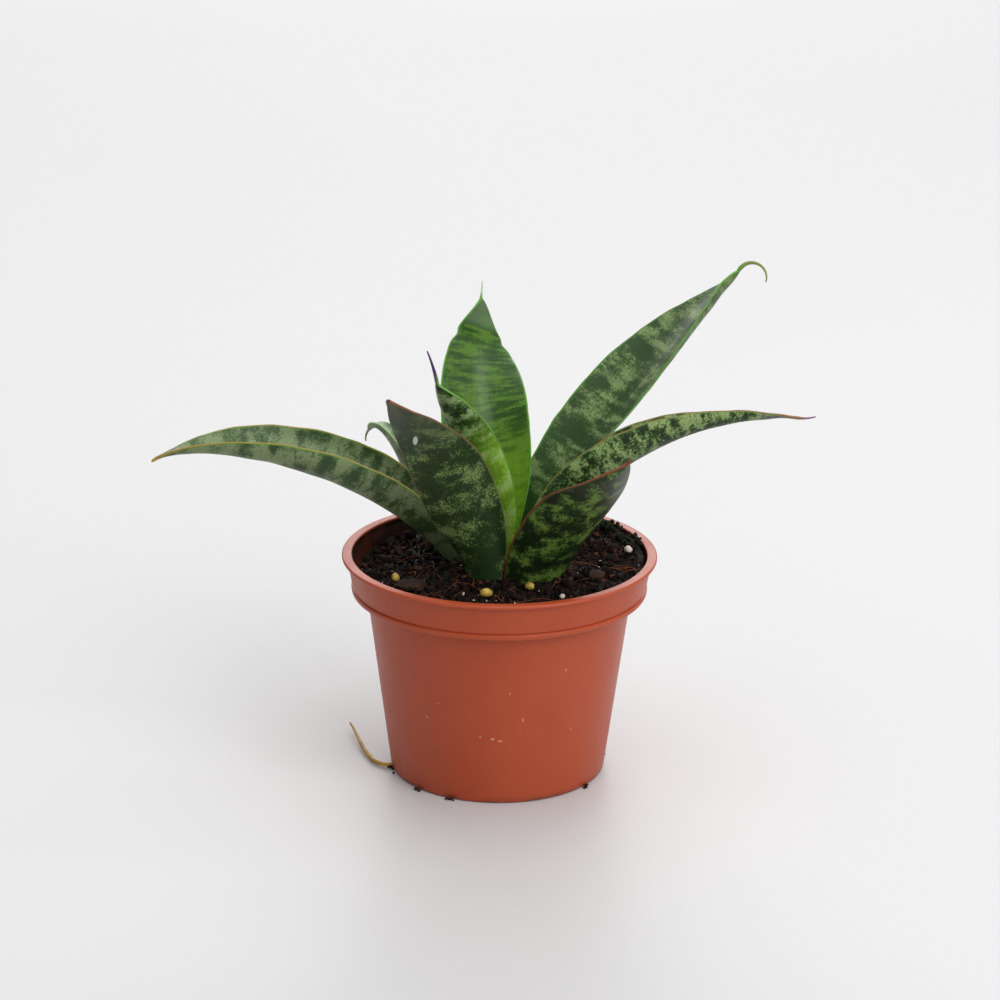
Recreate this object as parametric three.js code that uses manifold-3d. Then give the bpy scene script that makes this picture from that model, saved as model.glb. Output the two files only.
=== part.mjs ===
// A potted snake plant: eight stiff channelled leaves on a short rhizome, in a small moulded nursery pot.
// Millimetres, +Z up. The origin is the centre of the pot's flat underside.
import * as THREE from "three";
import { mergeVertices } from "three/addons/utils/BufferGeometryUtils.js";
import { ParametricGeometry } from "three/addons/geometries/ParametricGeometry.js";
import Module from "manifold-3d";

// ---- Driving dimensions ----

const GAP = 0.35; // clearance between pieces that touch on the real plant

const POT = {
  height: 43.2,
  lipRadius: 30.05,
  lipWidth: 1.95,
  lipThickness: 0.75,
  collarTopRadius: 29.1,
  collarFootRadius: 28.05,
  collarFootHeight: 35.8,
  beadHeight: 0.95,
  beadStand: 0.25,
  bodyTopRadius: 25.25,
  bodyTopHeight: 35.1,
  baseRadius: 20.6,
  footFillet: 0.7,
  wall: 0.95,
  floor: 2.0,
  segments: 56,
};

const DRAIN = {
  holeRadius: 2.0,
  ringRadius: 13,
  floorHoleAngles: [70, 130, 250, 310],
  grooveAngles: [10, 190],
  grooveWidth: 3.2,
  grooveDepth: 1.4,
  grooveStart: 6,
};

const SOIL = {
  level: 41.2,
  moundRise: 2.3,
  moundReach: 8,
  leftDip: 1.8,
  backRise: 1.3,
  rings: 11,
  segments: 40,
};

const CROWN = { x: 0.5, y: -3.5, height: 36 }; // where the leaves grow from

const LEAF = {
  midThickness: 1.25,
  marginThickness: 0.5,
  tipThickness: 0.6,
  awnTipRadius: 0.14,
  bladeSections: 20,
  awnSections: 4,
  acrossSteps: 6,
};

// Each leaf stands on its base point and leans out at its azimuth. Its spine is a cubic Bezier curve from the
// base, whose other control points are [out, sideways, up] from there. halfWidth is the distance along the
// surface from the spine to the margin at the widest place, which is that share of the way up; baseWidth is the
// share of it left at the base, and taper the power that thins it to the tip. The cross-section is an arc: fold
// gives its half-angle at the base, the middle and the tip, and roll turns it about the spine there. The awn is
// the hard point at the tip: its length, the angle it curls through, positive towards the upper face, and its
// radius where it leaves the blade.
const LEAVES = [
  {
    name: "leaf_spear",
    color: 0x3d5a2c,
    base: [-0.9, -4.4],
    azimuth: 203,
    spine: [[-2.8, 0, 22.4], [11.1, 0.6, 38.9], [12.6, 1.8, 43.9]],
    halfWidth: 5.8,
    widest: 0.43,
    baseWidth: 0.46,
    taper: 0.82,
    fold: [73, 59, 38],
    roll: [5, 37, 5],
    awn: { length: 7.6, curl: -9, radius: 0.42 },
  },
  {
    name: "leaf_back_upright",
    color: 0x3f6d22,
    base: [-0.5, 5.8],
    azimuth: 100.5,
    spine: [[6.3, 0, 32.6], [35.1, -1, 30.4], [36.4, -3, 45.6]],
    halfWidth: 9.2,
    widest: 0.25,
    baseWidth: 0.31,
    taper: 0.53,
    fold: [74, 17, 11],
    roll: [-11, -12, 57],
    awn: { length: 3.7, curl: -5, radius: 0.3 },
  },
  {
    name: "leaf_back_right",
    color: 0x3a5238,
    base: [6.2, 10],
    azimuth: 28.5,
    spine: [[-6.8, 0, 18], [37.8, -0.8, 45.6], [43.9, -2.5, 55.6]],
    halfWidth: 9.2,
    widest: 0.63,
    baseWidth: 0.34,
    taper: 0.87,
    fold: [53, 42, 38],
    roll: [0, 8, -48],
    awn: { length: 8.5, curl: -165, radius: 0.5 },
  },
  {
    name: "leaf_right_arching",
    color: 0x3d5234,
    base: [7.3, -5],
    azimuth: 1.5,
    spine: [[2.4, 0, 25.6], [31.5, 2.6, 37], [49.4, 7.9, 33.2]],
    halfWidth: 9.8,
    widest: 0.35,
    baseWidth: 0.38,
    taper: 1.4,
    fold: [81, 90, 33],
    roll: [-51, -13, -40],
    awn: { length: 3.6, curl: 22, radius: 0.3 },
  },
  {
    name: "leaf_front_right",
    color: 0x2c4420,
    base: [8, -12.6],
    azimuth: 314.5,
    spine: [[-2.4, 0, 12.6], [17.6, 0, 27.8], [21.7, 0, 34.7]],
    halfWidth: 9.6,
    widest: 0.59,
    baseWidth: 0.73,
    taper: 1.12,
    fold: [57, 37, 32],
    roll: [-9, -14, 16],
    awn: { length: 0.8, curl: 0, radius: 0.35 },
  },
  {
    name: "leaf_front_left",
    color: 0x2b4226,
    base: [-4.6, -13.6],
    azimuth: 227.5,
    spine: [[-3.2, 0, 14.9], [7.6, 1.1, 32.8], [26.3, 3.4, 47.8]],
    halfWidth: 7.3,
    widest: 0.44,
    baseWidth: 0.45,
    taper: 0.5,
    fold: [86, 32, 10],
    roll: [-32, 51, -5],
    awn: { length: 0.5, curl: 0, radius: 0.4 },
  },
  {
    name: "leaf_left_arching",
    color: 0x41563a,
    base: [-6, -0.8],
    azimuth: 188.5,
    spine: [[13.6, 0, 27.1], [52.8, 0.1, 32.8], [59.2, 0.4, 28.1]],
    halfWidth: 9.9,
    widest: 0.31,
    baseWidth: 0.36,
    taper: 1.11,
    fold: [100, 92, 8],
    roll: [-4, -4, 18],
    awn: { length: 0.5, curl: 0, radius: 0.35 },
  },
  {
    name: "leaf_back_left",
    color: 0x4b6244,
    base: [-8.1, 6],
    azimuth: 151,
    spine: [[7.4, 0, 9.7], [15, -0.3, 32.2], [20.4, -0.8, 26.1]],
    halfWidth: 5.5,
    widest: 0.45,
    baseWidth: 0.61,
    taper: 0.75,
    fold: [63, 48, 28],
    roll: [-4, 23, 3],
    awn: { length: 2.6, curl: -50, radius: 0.3 },
  },
];

// ---- Small helpers ----

const wasm = await Module();
wasm.setup();

const degrees = THREE.MathUtils.degToRad;
const smooth = THREE.MathUtils.smoothstep;

// A closed three.js geometry as a manifold-3d solid, turned to face outwards.
function solidOf(geometry) {
  const bare = new THREE.BufferGeometry();
  bare.setAttribute("position", geometry.getAttribute("position").clone());
  if (geometry.index) bare.setIndex(geometry.index.clone());
  const merged = mergeVertices(bare, 1e-3);
  const vertProperties = merged.attributes.position.array;
  const triVerts = new Uint32Array(merged.index.array);
  const build = () => new wasm.Manifold(new wasm.Mesh({ numProp: 3, vertProperties, triVerts }));
  const solid = build();
  if (solid.volume() > 0) return solid;
  for (let i = 0; i < triVerts.length; i += 3) {
    [triVerts[i + 1], triVerts[i + 2]] = [triVerts[i + 2], triVerts[i + 1]];
  }
  return build();
}

// A manifold-3d solid as a three.js geometry.
function geometryOf(solid) {
  const mesh = solid.getMesh();
  const geometry = new THREE.BufferGeometry();
  geometry.setAttribute("position", new THREE.BufferAttribute(mesh.vertProperties, 3));
  geometry.setIndex(new THREE.BufferAttribute(mesh.triVerts, 1));
  return geometry;
}

// The biggest of a solid's separate bodies.
function largestBody(solid) {
  return solid.decompose().reduce((a, b) => (b.volume() > a.volume() ? b : a));
}

const plant = new THREE.Group();

function addPiece(name, geometry, color, roughness = 0.6) {
  geometry.computeVertexNormals();
  const material = new THREE.MeshStandardMaterial({ color, roughness, metalness: 0 });
  const mesh = new THREE.Mesh(geometry, material);
  mesh.name = name;
  plant.add(mesh);
}

// A turned solid about the vertical axis, from [radius, height] points that start and end on the axis.
function turned(points, segments) {
  const profile = points.map(([radius, height]) => new THREE.Vector2(radius, height));
  return new THREE.LatheGeometry(profile, segments).rotateX(Math.PI / 2);
}

// A round bar along a smooth curve through the points.
function barAlong(points, radius, steps, sides = 8) {
  const section = new THREE.Shape();
  for (let i = 0; i < sides; i++) {
    const angle = (2 * Math.PI * i) / sides;
    const [x, y] = [radius * Math.cos(angle), radius * Math.sin(angle)];
    if (i === 0) section.moveTo(x, y);
    else section.lineTo(x, y);
  }
  section.closePath();
  const path = new THREE.CatmullRomCurve3(points.map((p) => new THREE.Vector3(...p)));
  return new THREE.ExtrudeGeometry(section, { steps, extrudePath: path, bevelEnabled: false });
}

// ---- Pot ----

// The inside of the pot from the floor up, as [radius, height] points, moved inwards by the given distance.
function potInside(inset = 0) {
  const { wall, floor } = POT;
  return [
    [POT.baseRadius - wall + 0.2 - inset, floor + inset],
    [POT.bodyTopRadius - wall - inset, POT.bodyTopHeight - 0.3],
    [POT.collarFootRadius - wall - 0.3 - inset, POT.collarFootHeight + 0.9],
    [POT.collarFootRadius - wall - inset, POT.collarFootHeight + 1.5],
    [POT.collarTopRadius - wall - inset, POT.height - POT.lipThickness],
  ];
}

// The outside from below the foot up to the lip. It starts too low, and buildPot cuts it off flat at the foot.
function potOutside() {
  const { footFillet: fillet, baseRadius, collarFootHeight: step, beadStand, beadHeight } = POT;
  const points = [[0, -1], [baseRadius - fillet, -1]];
  for (let i = 0; i <= 4; i++) {
    const angle = (Math.PI / 2) * (i / 4);
    points.push([baseRadius - fillet * (1 - Math.sin(angle)), fillet * (1 - Math.cos(angle))]);
  }
  points.push(
    [POT.bodyTopRadius, POT.bodyTopHeight],
    [POT.bodyTopRadius + 0.45, POT.bodyTopHeight + 0.5],
    [POT.collarFootRadius + beadStand - 0.2, step],
    [POT.collarFootRadius + beadStand, step + 0.25],
    [POT.collarFootRadius + beadStand, step + beadHeight - 0.2],
    [POT.collarFootRadius - 0.15, step + beadHeight + 0.1],
    [POT.collarFootRadius + 0.05, step + beadHeight + 0.4],
    [POT.collarTopRadius, POT.height - POT.lipThickness - 0.1],
    [POT.lipRadius - 0.25, POT.height - POT.lipThickness],
    [POT.lipRadius, POT.height - POT.lipThickness + 0.3],
    [POT.lipRadius - 0.12, POT.height - 0.12],
    [POT.lipRadius - 0.45, POT.height],
    [POT.lipRadius - POT.lipWidth + 0.3, POT.height],
  );
  return points;
}

// A drain hole through the floor, and the groove in the underside that lets the water out to the edge.
function drainHole(angle) {
  const hole = new THREE.CylinderGeometry(DRAIN.holeRadius, DRAIN.holeRadius, 3 * POT.floor, 20);
  hole.rotateX(Math.PI / 2).translate(DRAIN.ringRadius, 0, POT.floor / 2);
  return solidOf(hole.rotateZ(degrees(angle)));
}

function drainGroove(angle) {
  const length = POT.baseRadius + 3 - DRAIN.grooveStart;
  const groove = new THREE.BoxGeometry(length, DRAIN.grooveWidth, 2 * DRAIN.grooveDepth);
  groove.translate(DRAIN.grooveStart + length / 2, 0, 0);
  return solidOf(groove.rotateZ(degrees(angle)));
}

function buildPot() {
  const profile = [...potOutside(), ...potInside().reverse(), [0, POT.floor]];
  let pot = solidOf(turned(profile, POT.segments)).trimByPlane([0, 0, 1], 0);
  for (const angle of [...DRAIN.floorHoleAngles, ...DRAIN.grooveAngles]) {
    pot = pot.subtract(drainHole(angle));
  }
  for (const angle of DRAIN.grooveAngles) pot = pot.subtract(drainGroove(angle));
  addPiece("pot", geometryOf(pot), 0xa5522f, 0.4);
}

// ---- Leaves ----

const UP = new THREE.Vector3(0, 0, 1);

function spineOf(leaf) {
  const base = new THREE.Vector3(leaf.base[0], leaf.base[1], CROWN.height);
  const controls = [[0, 0, 0], ...leaf.spine].map(([out, side, up]) =>
    new THREE.Vector3(out, side, up).applyAxisAngle(UP, degrees(leaf.azimuth)).add(base),
  );
  return new THREE.CubicBezierCurve3(...controls);
}

// The value at s of the parabola through a value at the base, the middle and the tip.
const through = ([base, middle, tip], s) =>
  base * (1 - s) * (1 - 2 * s) + 4 * middle * s * (1 - s) + tip * s * (2 * s - 1);

function halfWidthAt(leaf, s) {
  const rising = Math.sin((Math.PI / 2) * Math.min(s / leaf.widest, 1)) ** 1.3;
  const falling = Math.cos((Math.PI / 2) * Math.max((s - leaf.widest) / (1 - leaf.widest), 0));
  const share = s < leaf.widest ? leaf.baseWidth + (1 - leaf.baseWidth) * rising : falling ** leaf.taper;
  return Math.max(leaf.halfWidth * share, leaf.awn.radius);
}

// The place, directions and sizes of a cross-section: of the blade for s from 0 to 1, of the awn from 1 to 2.
// The section is bigger by grow all round, and the base lower by it.
function sectionAt(leaf, spine, s, grow) {
  const onBlade = Math.min(s, 1);
  const point = spine.getPoint(onBlade);
  if (s === 0) point.z -= grow;
  const along = spine.getTangent(onBlade);
  const side = new THREE.Vector3(0, 1, 0).applyAxisAngle(UP, degrees(leaf.azimuth));
  const across = side.addScaledVector(along, -side.dot(along)).normalize();
  across.applyAxisAngle(along, degrees(through(leaf.roll, onBlade)));
  const upper = new THREE.Vector3().crossVectors(along, across);
  if (s <= 1) {
    const halfWidth = halfWidthAt(leaf, s);
    const slimness = Math.min(halfWidth / leaf.halfWidth, 1);
    return {
      point,
      across,
      upper,
      halfWidth: halfWidth + grow,
      fold: degrees(Math.max(through(leaf.fold, s), 2)),
      middle: THREE.MathUtils.lerp(LEAF.tipThickness, LEAF.midThickness, slimness) + 2 * grow,
      margin: LEAF.marginThickness + 2 * grow,
    };
  }
  const reach = s - 1;
  const curl = degrees(leaf.awn.curl) * reach + 1e-6;
  const radius = (leaf.awn.length * reach) / curl;
  point.addScaledVector(along, radius * Math.sin(curl));
  point.addScaledVector(upper, radius * (1 - Math.cos(curl)));
  upper.applyAxisAngle(across, -curl);
  const halfWidth = THREE.MathUtils.lerp(leaf.awn.radius, LEAF.awnTipRadius, reach);
  return { point, across, upper, halfWidth, fold: 0.1, middle: 1.8 * halfWidth, margin: halfWidth };
}

// A closed leaf: a grid whose rows go round the cross-section and whose first and last rows are single points.
function buildLeaf(leaf, grow = 0) {
  const spine = spineOf(leaf);
  const stops = [0];
  for (let i = 0; i <= LEAF.bladeSections; i++) {
    const share = i / LEAF.bladeSections;
    stops.push(share + 0.25 * share * (1 - share));
  }
  for (let i = 1; i <= LEAF.awnSections; i++) stops.push(1 + i / LEAF.awnSections);
  stops.push(2);
  const sections = stops.map((s) => sectionAt(leaf, spine, s, grow));
  const around = 2 * (LEAF.acrossSteps + 1);
  const surface = (turn, rise, target) => {
    const row = Math.round(rise * (stops.length - 1));
    const { point, across, upper, halfWidth, fold, middle, margin } = sections[row];
    target.copy(point);
    if (row === 0 || row === stops.length - 1) return;
    const step = Math.round(turn * around) % around;
    const onTop = step <= LEAF.acrossSteps;
    const place = onTop ? step : 2 * LEAF.acrossSteps + 1 - step;
    const u = (2 * place) / LEAF.acrossSteps - 1;
    const angle = fold * u;
    const bend = halfWidth / fold;
    const half = (margin + (middle - margin) * (1 - u * u)) / (onTop ? 2 : -2);
    target.addScaledVector(across, bend * Math.sin(angle) - half * Math.sin(angle));
    target.addScaledVector(upper, bend * (1 - Math.cos(angle)) + half * Math.cos(angle));
  };
  return solidOf(new ParametricGeometry(surface, around, stops.length - 1));
}

// ---- Soil and what is in it ----

// The height of the soil's surface: mounded round the crown, low at the left, high at the back and right.
function soilTop(x, y) {
  const fromCrown = (x - CROWN.x) ** 2 + (y - CROWN.y) ** 2;
  const mound = SOIL.moundRise * Math.exp(-fromCrown / (2 * SOIL.moundReach ** 2));
  const dip = SOIL.leftDip * smooth(-x, 6, 24);
  const rise = SOIL.backRise * smooth(0.6 * x + 0.8 * y, 8, 22);
  return SOIL.level + mound - dip + rise;
}

// The radius of the soil at a height, a gap inside the pot's wall.
function soilRadius(height) {
  const wall = potInside(GAP);
  const upper = wall.findIndex(([, z]) => z >= height);
  if (upper <= 0) return wall[upper < 0 ? wall.length - 1 : 0][0];
  const [[r0, z0], [r1, z1]] = [wall[upper - 1], wall[upper]];
  return r0 + ((r1 - r0) * (height - z0)) / (z1 - z0);
}

// The soil as a closed grid: rings from the middle of its underside, up the pot's wall, and over the top.
function soilBlock() {
  const wall = potInside(GAP).slice(0, 4);
  const rows = wall.length + SOIL.rings + 1;
  const surface = (turn, rise, target) => {
    const row = Math.round(rise * rows);
    const angle = 2 * Math.PI * turn;
    if (row === 0) {
      target.set(0, 0, wall[0][1]);
      return;
    }
    if (row <= wall.length) {
      const [radius, height] = wall[row - 1];
      target.set(radius * Math.cos(angle), radius * Math.sin(angle), height);
      return;
    }
    const share = (rows - row) / SOIL.rings;
    const edge = soilRadius(SOIL.level - SOIL.leftDip);
    const [x, y] = [edge * share * Math.cos(angle), edge * share * Math.sin(angle)];
    target.set(x, y, soilTop(x, y));
  };
  return solidOf(new ParametricGeometry(surface, SOIL.segments, rows));
}

// The short swollen stem under the soil, with a flat top just below the leaves' slanting ends.
const RHIZOME_DROP = 1.1;

function rhizomeProfile(grow = 0) {
  const top = CROWN.height - RHIZOME_DROP;
  return [
    [0, 23.5 - grow],
    [4 + grow, 24.2 - grow],
    [8.5 + grow, 27],
    [11.8 + grow, 30.5],
    [12.8 + grow, 33],
    [12.2 + grow, top - 0.6],
    [11.4 + grow, top + grow],
    [0, top + grow],
  ];
}

function rhizome(grow) {
  return solidOf(turned(rhizomeProfile(grow), 28).translate(CROWN.x, CROWN.y, 0));
}

// Main roots from under the rhizome down into the soil, as the [x, y, z] points of the channels they lie in.
const ROOT_RADIUS = 0.6;
const ROOTS = [
  [[5, -6, 25.7], [9, -10, 19], [12, -9, 12], [8, -12, 6]],
  [[-4, -7, 26], [-9, -11, 20], [-12, -8, 13], [-9, -12, 7]],
  [[-3, 2, 26.5], [-6, 9, 19], [-3, 13, 12], [-8, 11, 6]],
  [[6, 1, 26.8], [11, 6, 20], [9, 12, 14], [12, 9, 7]],
];

// The root that has grown out through a drain hole, along the groove and over the surface behind.
const ESCAPED_ROOT_RADIUS = 0.38;
const ESCAPED_ROOT = [
  [-12.9, -2.3, 2.1],
  [-13.6, -2.4, 1.1],
  [-15.5, -2.7, 0.62],
  [-19.2, -3.3, 0.6],
  [-22, -3.4, 0.55],
  [-24.2, -1.2, 0.55],
  [-26, 3.5, 0.7],
  [-27.6, 9.5, 1.1],
  [-29.4, 15.5, 1.3],
];

// Loose pieces on the soil, by name: [x, y], size along each axis, turn and colour.
const GRAINS = {
  fertiliser_prill_front: { at: [-2.4, -20.6], size: [2.4, 1.7, 1.7], turn: 10, color: 0xb99a34 },
  fertiliser_prill_right: { at: [5.7, -17.4], size: [1.9, 1.6, 1.6], turn: 30, color: 0xc9b568 },
  fertiliser_prill_left: { at: [-19.6, -8.2], size: [1.8, 1.6, 1.6], turn: -40, color: 0xb38f3a },
  perlite_grain_right: { at: [24.6, 2.6], size: [1.7, 1.5, 1.4], turn: 15, color: 0xe6d2c8 },
  perlite_grain_front: { at: [11.7, -20.4], size: [1.2, 1.0, 0.9], turn: 50, color: 0xeeeae2 },
  perlite_grain_left: { at: [-6.5, -20.5], size: [1.1, 0.9, 0.9], turn: 80, color: 0xeeeae2 },
  bark_chip_left: { at: [-16.5, -14.5], size: [7.0, 3.0, 1.4], turn: -35, color: 0x4a342a },
  bark_chip_right: { at: [18.2, -9.5], size: [4.6, 2.4, 1.2], turn: 60, color: 0x53382c },
  bark_chip_back: { at: [8.5, 18.5], size: [5.5, 3.0, 1.3], turn: 120, color: 0x4a342a },
};

function buildGrain(name, { at, size, turn, color }) {
  const [x, y] = at;
  const reach = Math.max(size[0], size[1]) / 2;
  let ground = -Infinity;
  for (let i = 0; i < 8; i++) {
    const angle = (Math.PI * i) / 4;
    ground = Math.max(ground, soilTop(x + reach * Math.cos(angle), y + reach * Math.sin(angle)));
  }
  const grain = new THREE.IcosahedronGeometry(0.5, 1).scale(...size);
  grain.rotateZ(degrees(turn)).translate(x, y, ground + size[2] / 2 + 0.1);
  addPiece(name, geometryOf(solidOf(grain)), color, 0.8);
}

// ---- Assembly ----

buildPot();

let soil = soilBlock().subtract(rhizome(GAP));
for (const leaf of LEAVES) {
  addPiece(leaf.name, geometryOf(buildLeaf(leaf)), leaf.color, 0.45);
  soil = soil.subtract(buildLeaf(leaf, GAP));
}

ROOTS.forEach((points, i) => {
  const path = new THREE.CatmullRomCurve3(points.map((p) => new THREE.Vector3(...p)));
  const channel = path.getPoints(14).map((p) => p.toArray());
  const root = barAlong(channel.slice(1, -1), ROOT_RADIUS, 9);
  addPiece(`root_${i + 1}`, geometryOf(solidOf(root)), 0xb08a4e);
  soil = soil.subtract(solidOf(barAlong(channel, ROOT_RADIUS + GAP, 11)));
});
addPiece("soil", geometryOf(largestBody(solidOf(geometryOf(soil)))), 0x2a1d17, 0.95);
addPiece("rhizome", geometryOf(rhizome(0)), 0xb98a55, 0.7);
addPiece("escaped_root", geometryOf(solidOf(barAlong(ESCAPED_ROOT, ESCAPED_ROOT_RADIUS, 26))), 0xa07a3a);
for (const [name, grain] of Object.entries(GRAINS)) buildGrain(name, grain);

export default plant;
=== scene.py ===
"""The looks of a potted snake plant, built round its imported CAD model.

Lengths are in millimetres up to where a mesh is made, apart from the lights', and +Z is up. The pot stands on
z = 0 with its middle on the Z axis, and the plant's front is towards -Y.
"""

import math

import bmesh
import bpy
import numpy as np
from mathutils import Matrix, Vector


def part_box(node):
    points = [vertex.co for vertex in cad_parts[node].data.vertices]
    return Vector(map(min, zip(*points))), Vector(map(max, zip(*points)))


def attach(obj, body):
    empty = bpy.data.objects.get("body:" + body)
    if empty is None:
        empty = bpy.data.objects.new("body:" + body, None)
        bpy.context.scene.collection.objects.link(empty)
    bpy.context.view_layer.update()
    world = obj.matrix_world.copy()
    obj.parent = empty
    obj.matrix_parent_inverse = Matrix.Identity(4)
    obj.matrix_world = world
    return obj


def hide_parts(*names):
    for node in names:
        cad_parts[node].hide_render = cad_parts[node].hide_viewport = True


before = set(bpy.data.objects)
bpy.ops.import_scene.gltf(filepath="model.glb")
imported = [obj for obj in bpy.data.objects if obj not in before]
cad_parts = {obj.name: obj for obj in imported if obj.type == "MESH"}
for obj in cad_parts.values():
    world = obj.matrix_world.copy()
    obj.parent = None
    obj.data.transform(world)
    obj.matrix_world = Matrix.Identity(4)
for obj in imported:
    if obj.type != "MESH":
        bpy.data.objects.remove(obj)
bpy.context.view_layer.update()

MM = 0.001
SEED = 20

# ---- Driving dimensions ----

CAMERA = {"tilt": 18.67, "roll": 0.58, "distance": 662.1, "right": 0.5, "up": 50.8, "lens": 122.4}

POT = {
    "height": 43.2,
    "lip_radius": 30.05,
    "lip_width": 1.95,
    "lip_thickness": 0.75,
    "collar_top_radius": 29.1,
    "collar_foot_radius": 28.05,
    "collar_foot_height": 35.8,
    "bead_height": 0.95,
    "bead_stand": 0.25,
    "body_top_radius": 25.25,
    "body_top_height": 35.1,
    "base_radius": 20.6,
    "wall": 0.95,
    "floor": 2.0,
    "columns": 224,
}
DRAIN = {
    "hole_radius": 2.0,
    "ring_radius": 13.0,
    "hole_angles": (70, 130, 250, 310, 10, 190),
    "groove_angles": (10, 190),
    "groove_width": 3.2,
    "groove_depth": 1.4,
    "groove_start": 6.0,
}
SOIL = {
    "level": 41.2,
    "mound_rise": 2.3,
    "mound_reach": 8.0,
    "left_dip": 1.8,
    "dip_from_to": (6, 24),
    "back_rise": 1.3,
    "rise_from_to": (8, 22),
    "clods": ((0.55, 5.5), (0.4, 2.4), (0.26, 1.1)),  # how far each kind rises and falls, and its size
    "sunk": 0.25,
    "side_heights": (38.5, 36.0, 34.8, 24.0, 12.0),
    "underside": 2.35,
    "rings": 110,
    "columns": 300,
}
# How many crumbs of each kind there are.
CRUMBS = {"peat": 3200, "wood": 200, "perlite": 70, "moss": 160}
# How many fibres, the points and sides of each, how far out they start and end, and their radius at each end.
FIBRES = {
    "count": 130, "steps": 9, "columns": 4,
    "reach": 25.0, "farthest": 26.8,
    "thick": 0.09, "thin": 0.05,
}

# Crumbs that have fallen against the foot, in heaps: x, y, how many, and how far they spread along the foot.
FALLEN = (
    (-15.3, -15.2, 7, 0.5), (-10.0, -20.4, 9, 0.7), (16.8, -12.8, 6, 0.5), (-21.5, -4.6, 14, 1.2),
    (21.3, 5.5, 12, 1.1), (-2.0, 22.0, 5, 1.0),
)

CROWN = (0.5, -3.5)  # where the leaves grow from
CROWN_HEIGHT = 36.0

LEAF_MIDDLE = 1.25  # thickness of a blade along its spine
LEAF_MARGIN = 0.5
LEAF_TIP = 0.6
AWN_TIP_RADIUS = 0.14
BLADE_ROWS = 180
AWN_ROWS = 24
ACROSS_STEPS = 32

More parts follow.
